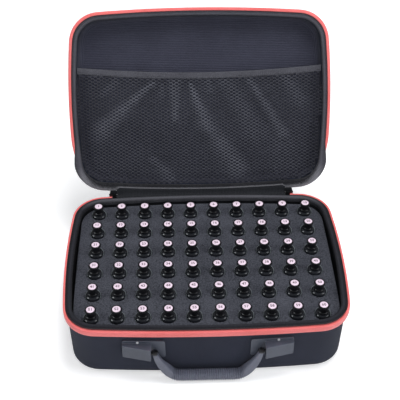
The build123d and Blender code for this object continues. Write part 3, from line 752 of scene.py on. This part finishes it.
def edge_x(y):
    return np.interp(abs(y), EDGE[::-1, 1], EDGE[::-1, 0])


def edge_y(x):
    return np.interp(abs(x), EDGE[:, 0], EDGE[:, 1])


def edge_corner(share):
    """A point of the foam's corner, from beside the last row at 0 to behind the last column at 1."""
    start = np.interp(PITCH_Y / 2 - ROWS[-1], -EDGE[:, 1], EDGE_RUN)
    end = np.interp(COLUMNS[-1] - PITCH_X / 2, EDGE[:, 0], EDGE_RUN)
    return resampled(start + (end - start) * share, EDGE_RUN, EDGE)[0]


sweep = np.linspace(-1, 1, 8, endpoint=False)
SQUARE = [(t, -1) for t in sweep] + [(1, t) for t in sweep]
SQUARE += [(-x, -y) for x, y in SQUARE]


def cell_outline(column, row):
    """One cell's outline, which runs out to the foam's edge on an outer cell, and which points are there."""
    cx, cy = COLUMNS[column], ROWS[row]
    way_x, way_y = math.copysign(1, cx), math.copysign(1, cy)
    points, on_edge = [], []
    for sx, sy in SQUARE:
        x, y = cx + PITCH_X / 2 * sx, cy + PITCH_Y / 2 * sy
        side = column in (0, len(COLUMNS) - 1) and sx == way_x
        end = row in (0, len(ROWS) - 1) and sy == way_y
        if (side or end) and column in (0, len(COLUMNS) - 1) and row in (0, len(ROWS) - 1):
            x, y = edge_corner((sy * way_y + 1) / 4 if side else 0.5 + (1 - sx * way_x) / 4) * [way_x, way_y]
        elif side:
            x = math.copysign(edge_x(y), cx)
        elif end:
            y = math.copysign(edge_y(x), cy)
        points.append((x, y))
        on_edge.append(side or end)
    return points, on_edge


def foam_piece():
    """The insert as one closed skin: its bored top and its foot, cell by cell, and its outer side."""
    verts, index, faces, following = [], {}, [], {}

    def vert(x, y, z):
        key = (round(x, 3), round(y, 3), round(z, 3))
        if key not in index:
            index[key] = len(verts)
            verts.append((x, y, z))
        return index[key]

    def drawn_in(x, y, distance):
        scale = 1 - distance / math.hypot(x, y)
        return x * scale, y * scale

    bore = [(BORE + 0.7, FOAM_TOP), (BORE + 0.2, FOAM_TOP - 0.15)]
    bore += [(BORE, z) for z in (FOAM_TOP - 0.7, 70.0, 40.0, FOAM_FOOT)]
    for column, cx in enumerate(COLUMNS):
        for row, cy in enumerate(ROWS):
            outer, on_edge = cell_outline(column, row)
            angles = [math.atan2(y - cy, x - cx) for x, y in outer]
            rings = [[vert(x, y, FOAM_TOP) for x, y in outer]]
            for radius, z in bore:
                rings.append([vert(cx + radius * math.cos(a), cy + radius * math.sin(a), z) for a in angles])
            foot = [drawn_in(*p, FOOT_DRAW) if edge else p for p, edge in zip(outer, on_edge)]
            rings.append([vert(x, y, FOAM_FOOT) for x, y in foot])
            for a, b in zip(rings, rings[1:]):
                faces += ladder(a, b)
            top = rings[0]
            for k in range(len(top)):
                after = (k + 1) % len(top)
                if on_edge[k] and on_edge[after]:
                    following[top[k]] = top[after]
    # the outer side follows the top's edge round
    order = [next(iter(following))]
    while following[order[-1]] != order[0]:
        order.append(following[order[-1]])
    rows = [order]
    side = [(-0.05, FOAM_TOP - 0.1), (-0.5, FOAM_TOP - 1), (0.6, 55.0), (0.95, 30.0), (FOOT_DRAW, FOAM_FOOT)]
    for distance, z in side:
        rows.append([vert(*drawn_in(*verts[k][:2], distance), z) for k in order])
    for k in order:
        verts[k] = (*drawn_in(*verts[k][:2], 0.7), FOAM_TOP)
    for a, b in zip(rows, rows[1:]):
        faces += ladder(b, a)
    return mesh_from("foam_block", np.array(verts), faces)


foam = foam_piece()
settle(foam, "foam", "base", "foam_dark", "foam_insert")


# Bottles, caps and labels
def turned(profile, places, segments):
    """Parts from a turned profile of (radius, z) pairs, one at each place; a radius of 0 closes it."""
    angle = np.linspace(0, 2 * math.pi, segments, endpoint=False)
    verts, faces, rings = [], [], []
    for radius, z in profile:
        around = angle if radius else [0.0]
        rings.append(list(range(len(verts), len(verts) + len(around))))
        verts += [(radius * math.cos(a), radius * math.sin(a), z) for a in around]
    for a, b in zip(rings, rings[1:]):
        if len(a) == 1:
            faces += [[a[0], after, here] for here, after in zip(b, b[1:] + b[:1])]
        elif len(b) == 1:
            faces += [[here, after, b[0]] for here, after in zip(a, a[1:] + a[:1])]
        else:
            faces += ladder(a, b)
    return [(np.array(verts) + np.array([x, y, 0]), faces) for x, y in places]


CAP_TOP, LABEL_TOP, INK_HALF = 96.0, 96.2, 0.025
SHOULDER_RADIUS, SHOULDER_Z, SHOULDER_IN = 3.6, 80.2, 6.65
glass_profile = [
    (0, 10.8), (7.0, 10.8), (8.75, 10.85), (9.8, 11.3), (10.25, 12.3), (10.25, 60.0), (10.25, 79.6),
]
for turn in np.radians(np.linspace(0, 80, 8)):
    radius = SHOULDER_IN + SHOULDER_RADIUS * math.cos(turn)
    glass_profile.append((radius, SHOULDER_Z + SHOULDER_RADIUS * math.sin(turn)))
glass_profile += [(5.6, 83.78), (4.6, 83.85), (4.4, 84.2), (4.4, 93.6), (4.1, 94.0), (3.2, 94.0), (0, 93.9)]
cap_profile = [
    (0, 94.3), (4.5, 94.3), (4.5, 84.05), (6.4, 84.0), (6.65, 84.2), (6.7, 84.5), (6.7, 85.8), (6.5, 86.2),
    (5.8, 86.4), (5.6, 86.8), (5.6, 88.5), (5.65, 90.8), (5.85, 92.4), (6.4, 93.2), (6.95, 93.6),
    (7.15, 94.0), (7.2, 94.8), (7.15, 95.6), (6.9, 95.93), (6.4, CAP_TOP), (0, CAP_TOP),
]
label_profile = [(0, CAP_TOP + 0.01), (5.15, CAP_TOP + 0.01), (5.17, 96.12), (5.0, LABEL_TOP), (0, LABEL_TOP)]


def number_mesh(number):
    """One cap's number as a mesh, in millimetres, centred on zero."""
    curve = bpy.data.curves.new(f"number_{number}", "FONT")
    curve.body = str(number)
    curve.size = 5.6
    curve.align_x = curve.align_y = "CENTER"
    curve.resolution_u = 2
    curve.offset = 0.10
    curve.extrude = INK_HALF
    holder = linked(f"number_{number}", curve)
    data = bpy.data.meshes.new_from_object(holder)
    merged = bmesh.new()
    merged.from_mesh(data)
    bmesh.ops.remove_doubles(merged, verts=merged.verts, dist=0.0005)
    merged.to_mesh(data)
    merged.free()
    verts = np.array([v.co[:] for v in data.vertices])
    faces = [list(p.vertices) for p in data.polygons]
    bpy.data.objects.remove(holder)
    bpy.data.meshes.remove(data)
    return verts, faces


def bottle_set(tag, places, nodes, body, cap_body):
    """Glass, caps, labels and their numbers at some of the places."""
    for kind, profile, segments, rider, slot, node in (
        ("glass", glass_profile, 32, body, "bottle_glass", nodes[0]),
        ("cap", cap_profile, 32, cap_body, "cap_plastic", nodes[1]),
        ("label", label_profile, 28, cap_body, "label_paper", nodes[2]),
    ):
        settle(joined(f"{kind}_{tag}", turned(profile, places, segments)), kind, rider, slot, node)
    marks = []
    for x, y in places:
        rows_behind = len(ROWS) - 1 - ROWS.index(y)
        verts, faces = number_mesh(COLUMNS.index(x) + 1 + len(COLUMNS) * rows_behind)
        marks.append((verts + np.array([x, y, LABEL_TOP + INK_HALF]), faces))
    settle(joined(f"numbers_{tag}", marks, smooth=False), "ink", cap_body, "label_paper")


# the first row's first bottle is the one that lifts out
for row, y in enumerate(ROWS, start=1):
    places = [(x, y) for x in COLUMNS[1 if row == 1 else 0:]]
    nodes = (f"bottles_row_{row}", f"caps_row_{row}", f"cap_labels_row_{row}")
    bottle_set(f"row_{row}", places, nodes, "base", "base")
lift_nodes = ("lift_bottle", "lift_bottle_cap", "lift_bottle_label")
bottle_set("lift", [(COLUMNS[0], ROWS[0])], lift_nodes, "bottle", "cap")

# Mesh pocket: net and elastic hem, by x and height on the lid
NET_FLOOR, NET_RIM, NET_INSET = 17.6, 8.2, 11.2
NET_CELL, NET_RIDGE, YARN_THICKNESS = 2.7, 0.72, 0.3
HEM_HALF, HEM_SAG, HEM_HEIGHT = 171.0, 9.0, 10.6
clear = outline(NET_INSET)
RIGHT, FOOT = clear[clear[:, 0] > 0], clear[clear[:, 1] > 0]
RIGHT, FOOT = RIGHT[np.argsort(RIGHT[:, 1])], FOOT[np.argsort(FOOT[:, 0])]


def side_reach(y):
    """Half the clear width between the lid's bindings at a height."""
    return np.interp(-y, RIGHT[:, 1], RIGHT[:, 0])


def foot_line(x):
    """The height of the net's lower edge, along the hinge side of the lid."""
    return -np.interp(x, FOOT[:, 0], FOOT[:, 1])


def hem_top(x):
    return 40.0 + HEM_SAG * (np.asarray(x) / HEM_HALF) ** 2


def hem_low(x):
    return hem_top(x) - HEM_HEIGHT


def hem_depth(x):
    return 15.2 - 6.4 * np.abs(np.asarray(x) / HEM_HALF) ** 5


# Folds of the slack net: from (x, height) to (x, height), half width at each end, how far the fold stands
# out, and how much painted light its yarn gets
FOLDS = (
    (-66, 25, -140, -41, 3.0, 10.0, 5.5, 1.0), (-35, 28, -36, -27, 7.5, 3.0, 3.5, 0.9),
    (-14, 22, 8, -38, 3.0, 10.0, 5.5, 1.0), (8, -38, 50, -96, 10.0, 12.0, 5.5, 1.0),
    (38, 24, 80, -48, 8.0, 12.0, 2.8, 0.45), (70, 26, 118, -49, 4.0, 6.5, 4.2, 0.85),
    (122, 27, 142, -3, 6.0, 8.0, 2.8, 0.5), (-68, -85, -44, -112, 5.5, 6.5, 3.0, 0.6),
    (-138, 9, -118, 28, 4.5, 4.0, 2.8, 0.5), (-53, 22, -54, 8, 3.0, 3.5, 1.8, 0.4),
    (12, 26, 14, 14, 4.0, 4.0, 1.8, 0.4), (118, -68, 120, -90, 14.0, 14.0, 1.5, 0.3),
)


def fold_place(x, y, x0, y0, x1, y1, start, end):
    """Share of the way along a fold, how far off it in its half widths, and on which side."""
    run = np.array([x1 - x0, y1 - y0], float)
    share = np.clip(((x - x0) * run[0] + (y - y0) * run[1]) / (run @ run), 0, 1)
    off_x, off_y = x - x0 - run[0] * share, y - y0 - run[1] * share
    side = off_x * run[1] - off_y * run[0]
    return share, np.hypot(off_x, off_y) / (start + (end - start) * share), side


def edge_distance(x, y):
    """How far a point of the net is from its sewn sides and foot."""
    return np.minimum(np.clip(side_reach(y) - np.abs(x), 0, None), np.clip(y - foot_line(x), 0, None))


def drape(x, y):
    """The net's depth under the rim plane: slack over the floor, tight at its sewn edges, and in folds."""
    edge = edge_distance(x, y)
    depth = NET_RIM + (NET_FLOOR - NET_RIM) * (1 - np.exp(-edge / 6.5))
    inside = np.clip(edge / 16.0, 0, 1)
    for *line, size, _ in FOLDS:
        share, off, side = fold_place(x, y, *line)
        stand = inside * (1 - 0.6 * share**2) * size
        depth = depth - stand * np.exp(-(off**2)) + 0.35 * stand * np.exp(-((off - 1.9) ** 2)) * (side > 0)
    above = np.clip(y - hem_low(x), -60, 0)
    near_hem = np.exp(above / 12.0)
    depth = depth * (1 - near_hem) + hem_depth(x) * near_hem
    return np.clip(depth, 7.4, 21.4)


def net_shine(x, y):
    """The yarn's painted light: painted shade at the sewn edges and painted highlights along the folds."""
    shine = np.zeros(len(x))
    for *line, _, catch in FOLDS:
        _, off, _ = fold_place(x, y, *line)
        shine = np.maximum(shine, catch * np.exp(-((off / 1.35) ** 3)))
    margin = np.clip(1 - edge_distance(x, y) / 18.0, 0, 1)
    return np.clip(0.17 + 0.50 * shine - 0.35 * margin, 0, 1)


def net_piece():
    """A knitted net, built cell by cell as ridged strands round six-sided holes, and its flat area."""
    step_x, step_y = NET_CELL / 2, NET_CELL * math.sqrt(3) / 2
    verts, index, faces = [], {}, []

    def shared(i, j):
        if (i, j) not in index:
            index[i, j] = len(verts)
            verts.append((i * step_x, j * step_y, NET_RIDGE))
        return index[i, j]

    hexagon = [(-2, 0), (-1, -1), (1, -1), (2, 0), (1, 1), (-1, 1)]
    for c in range(-46, 47):
        for r in range(-30, 12):
            i, j = 3 * c, 2 * r + c % 2
            x, y = i * step_x, j * step_y
            if y < foot_line(x) + 1.4 or y > hem_low(x) + 2.4 or abs(x) > side_reach(y) - 1.4:
                continue
            outer = [shared(i + a, j + b) for a, b in hexagon]
            inner = list(range(len(verts), len(verts) + 6))
            for a, b in hexagon:
                verts.append((x + a * step_x * (0.90 if b else 0.84), y + b * step_y * 0.50, 0.0))
            faces += ladder(outer, inner)
    flat = np.array(verts)
    quads = np.array(faces)
    a, b = flat[quads[:, 2]] - flat[quads[:, 0]], flat[quads[:, 3]] - flat[quads[:, 1]]
    area = 0.5 * np.abs(a[:, 0] * b[:, 1] - a[:, 1] * b[:, 0]).sum() * 1e-6
    x, y, ridge = flat.T
    points = in_lid(np.c_[x, -y, ridge - drape(x, y)])
    obj = mesh_from("pocket_net_yarn", points, faces, flat[quads.ravel()][:, :2] * 0.001, smooth=False)
    # the painted light on the yarn, kept as an attribute
    layer = obj.data.attributes.new("shine", "FLOAT", "POINT")
    layer.data.foreach_set("value", net_shine(x, y).astype(np.float32))
    thick = obj.modifiers.new("yarn_thickness", "SOLIDIFY")
    thick.thickness = YARN_THICKNESS * 0.001
    thick.offset = -1.0
    return obj, area


def hem_piece():
    """The elastic hem: a soft band with a rolled top edge and fine gathers."""
    loop = [(-0.5, 0.2), (-0.95, 1.2), (-0.8, 3.2), (-0.75, 6.2), (-0.95, 8.4), (-0.3, 9.4), (0.35, 8.8),
            (0.45, 6.2), (0.45, 3.4), (0.35, 0.6)]
    x = np.linspace(-1, 1, 420) * (side_reach(45.0) - 0.4)
    gather = 0.16 * np.sin(x * 2.3) + 0.10 * np.sin(x * 4.1 + 1.0)
    rows = []
    for out, drop in loop:
        y = hem_top(x) - drop + 0.12 * np.sin(x * 0.9)
        front = out + (gather if out < 0 else 0) * (1 if drop > 1 else 0.3)
        rows.append(np.c_[x, -y, -(hem_depth(x) + front + 0.4)])
    return grid_piece("pocket_hem_cloth", np.array(rows), in_lid)


net, net_area = net_piece()
settle(net, "net", "lid", "net_mesh", "pocket_net")
hem = hem_piece()
settle(hem, "elastic", "lid", "elastic_band", "pocket_elastic")


# Handle: a rounded section along the arms and the ribbed grip, in front of the base
AXIS_Y, ARM_FOOT, GRIP_END = -132.0, 54.0, 40.0
GRIP_LOW, GRIP_HIGH, RIBBED_HALF, RIB_PITCH = 4.2, 16.8, 47.0, 2.8


def arc(start, run, end, count):
    """Points of the arc that leaves start along run and reaches end."""
    start, end, run = np.array(start), np.array(end), unit(np.array(run))
    chord = end - start
    normal = np.array([run[1], -run[0]])
    normal *= np.sign(chord @ normal)
    radius = chord @ chord / (2 * chord @ normal)
    turn = np.linspace(0, 2 * math.atan2(chord @ normal, chord @ run), count)[:, None]
    return start + normal * radius * (1 - np.cos(turn)) + run * radius * np.sin(turn)


def grip_edge(x, run, level):
    """One edge of the grip: down out of a bracket, round an arc, along, and up the other arm."""
    socket = np.c_[np.full(5, x), (57.0, 56.8, 56.2, 55.4, 54.7)]
    along = np.c_[np.linspace(GRIP_END, 0, 30)[1:], np.full(29, level)]
    half = np.vstack([socket, arc((x, ARM_FOOT), run, (GRIP_END, level), 40), along])
    for _ in range(16):
        half[1:-1] = 0.25 * half[:-2] + 0.5 * half[1:-1] + 0.25 * half[2:]
    return np.vstack([half, half[-2::-1] * [-1, 1]])


def handle_piece():
    flare = math.radians(25.0)
    outer = grip_edge(69.3, (0, -1), GRIP_LOW)
    inner = grip_edge(62.5, (-math.sin(flare), -math.cos(flare)), GRIP_HIGH)
    run = lengths((outer + inner) / 2)
    at = np.arange(0, run[-1], 0.28)
    outer, inner = resampled(at, run, outer), resampled(at, run, inner)
    middle, half = (outer + inner) / 2, np.linalg.norm(outer - inner, axis=1) / 2
    across = (outer - inner) / (2 * half[:, None])
    from_middle = at - run[-1] / 2
    ribbed = np.clip((RIBBED_HALF - np.abs(from_middle)) / 1.5, 0, 1)
    rib = np.clip(0.5 + 0.9 * np.cos(from_middle * 2 * math.pi / RIB_PITCH), 0, 1) * ribbed
    up_arm = eased(np.clip((middle[:, 1] - 16.0) / 26.0, 0, 1))
    # the two ends are rounded off
    end = np.minimum(at, run[-1] - at)
    tip = np.sqrt(np.clip(1 - np.clip(1 - end / 3.8, 0, 1) ** 2, 0.02, 1))
    swell = 1.15 * rib - 0.7 * ribbed
    wide = half * (1 - 0.2 * up_arm) - 0.15 * (1 - tip) + swell
    thick = (6.3 - 3.0 * up_arm + swell) * tip
    # the section is a squared round
    angle = np.linspace(0, 2 * math.pi, 36, endpoint=False)
    c, s = (np.sign(wave) * np.sqrt(np.abs(wave)) for wave in (np.cos(angle), np.sin(angle)))
    flat = middle + across * (np.outer(c, wide)[..., None])
    grid = np.stack([flat[..., 0], AXIS_Y + np.outer(s, thick), flat[..., 1]], axis=2)
    return grid_piece("handle_rubber", grid, as_is)


settle(handle_piece(), "handle", "handle", "handle_plastic", "handle_grip")

# Solids that keep their own shape
for node, key in (("handle_bracket", "bracket"), ("backing_plate", "bracket"), ("handle_pin", "cap"),
                  ("zip_slider", "slider"), ("pull_tab", "slider")):
    for side in ("right", "left"):
        paint(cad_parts[f"{node}_{side}"], key)
paint(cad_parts["bracket_rivets"], "rivet")


# Floor, light and camera, in metres but for the floor's half width
FLOOR_HALF, GLOW_START, GLOW_END = 9000.0, 1.0, 8 / 3


def floor_piece():
    """A pale paper floor that glows a little more the further it is from the object."""
    corners = [(x * FLOOR_HALF, y * FLOOR_HALF, 0) for x, y in ((-1, -1), (1, -1), (1, 1), (-1, 1))]
    obj = mesh_from("floor", corners, [(0, 1, 2, 3)], smooth=False)
    s = Shader("floor_paper", (0.93, 0.93, 0.94), 0.9)
    s.colour(s.ramp(s.noise(6.0, 3.0), 0.3, 0.7, (0.915, 0.918, 0.925), (0.945, 0.946, 0.95)))
    path = s.node("LightPath")
    reflected = s.math("MAXIMUM", path.outputs["Is Glossy Ray"], path.outputs["Is Transmission Ray"])
    reach = s.node("VectorMath", operation="LENGTH")
    s.put(reach.inputs[0], s.place())
    far = s.share(reach.outputs["Value"], GLOW_START, GLOW_END)
    seen = s.math("MULTIPLY", path.outputs["Is Camera Ray"], s.add(0.40, (far, 0.6)))
    glow = s.node("Emission", Strength=s.add(seen, (reflected, 0.05)))
    glow.inputs["Color"].default_value = (1, 1, 1, 1)
    both = s.node("AddShader")
    s.put(both.inputs[0], s.bsdf.outputs[0])
    s.put(both.inputs[1], glow.outputs[0])
    s.put(s.out.inputs[0], both.outputs[0])
    obj.data.materials.append(s.mat)


def studio_world():
    """Soft light all round, and white where the camera looks past the floor."""
    world = bpy.data.worlds.new("studio")
    bpy.context.scene.world = world
    world.use_nodes = True
    tree = world.node_tree
    tree.nodes.clear()
    pick = tree.nodes.new("ShaderNodeMixShader")
    path = tree.nodes.new("ShaderNodeLightPath")
    tree.links.new(path.outputs["Is Camera Ray"], pick.inputs[0])
    for k, (colour, strength) in enumerate((((0.93, 0.96, 1.0, 1), 0.26), ((1, 1, 1, 1), 1.0)), start=1):
        light = tree.nodes.new("ShaderNodeBackground")
        light.inputs[0].default_value = colour
        light.inputs[1].default_value = strength
        tree.links.new(light.outputs[0], pick.inputs[k])
    tree.links.new(pick.outputs[0], tree.nodes.new("ShaderNodeOutputWorld").inputs[0])


def placed(name, data, x, y, z, place):
    """An object with its three axes and its place."""
    obj = linked(name, data)
    obj.matrix_world = Matrix([*zip(x, y, z, place), (0, 0, 0, 1)])
    return obj


def area_light(name, place, aim, size, power, tint=(1, 1, 1)):
    data = bpy.data.lights.new(name, "AREA")
    data.shape = "RECTANGLE"
    data.size, data.size_y = size
    data.energy = power
    data.color = tint
    z = unit(np.subtract(place, aim))
    x = unit(np.cross([0, 0, 1.0], z))
    return placed(name, data, x, np.cross(z, x), z, place)


def camera(place, lens, yaw, down, roll):
    """A camera turned by yaw from +y, looking down, and rolled, in degrees."""
    data = bpy.data.cameras.new("camera")
    data.sensor_width = 36.0
    data.lens = lens
    yaw, down, roll = np.radians((yaw, down, roll))
    ahead = np.array([math.sin(yaw) * math.cos(down), math.cos(yaw) * math.cos(down), -math.sin(down)])
    right = unit(np.cross(ahead, [0, 0, 1.0]))
    up = np.cross(right, ahead)
    x = math.cos(roll) * right + math.sin(roll) * up
    y = -math.sin(roll) * right + math.cos(roll) * up
    return placed("camera", data, x, y, -ahead, place)


floor_piece()
studio_world()
area_light("key_front", (0.1, -1.7, 1.2), (0, 0, 0.08), (1.5, 0.9), 14).visible_glossy = False
area_light("top", (0.2, 0.1, 1.9), (0, 0.05, 0.0), (1.0, 0.7), 23).visible_glossy = False
area_light("fill_right", (1.4, -0.5, 1.2), (0, 0.05, 0.1), (0.8, 1.2), 9, (0.93, 0.96, 1.0))
area_light("fill_left", (-1.5, -0.2, 1.2), (0, 0.05, 0.1), (0.8, 1.2), 4, (0.96, 0.98, 1.0))
glint = area_light("glint_left", (-1.5, -0.3, 1.0), (0, 0.0, 0.1), (0.6, 1.0), 9, (0.9, 0.97, 1.0))
glint.visible_diffuse = False
bpy.context.scene.camera = camera((-0.03756, -0.84311, 0.91307), 80.41, 2.11, 40.70, 0.33)
bpy.context.scene.view_settings.view_transform = "Standard"
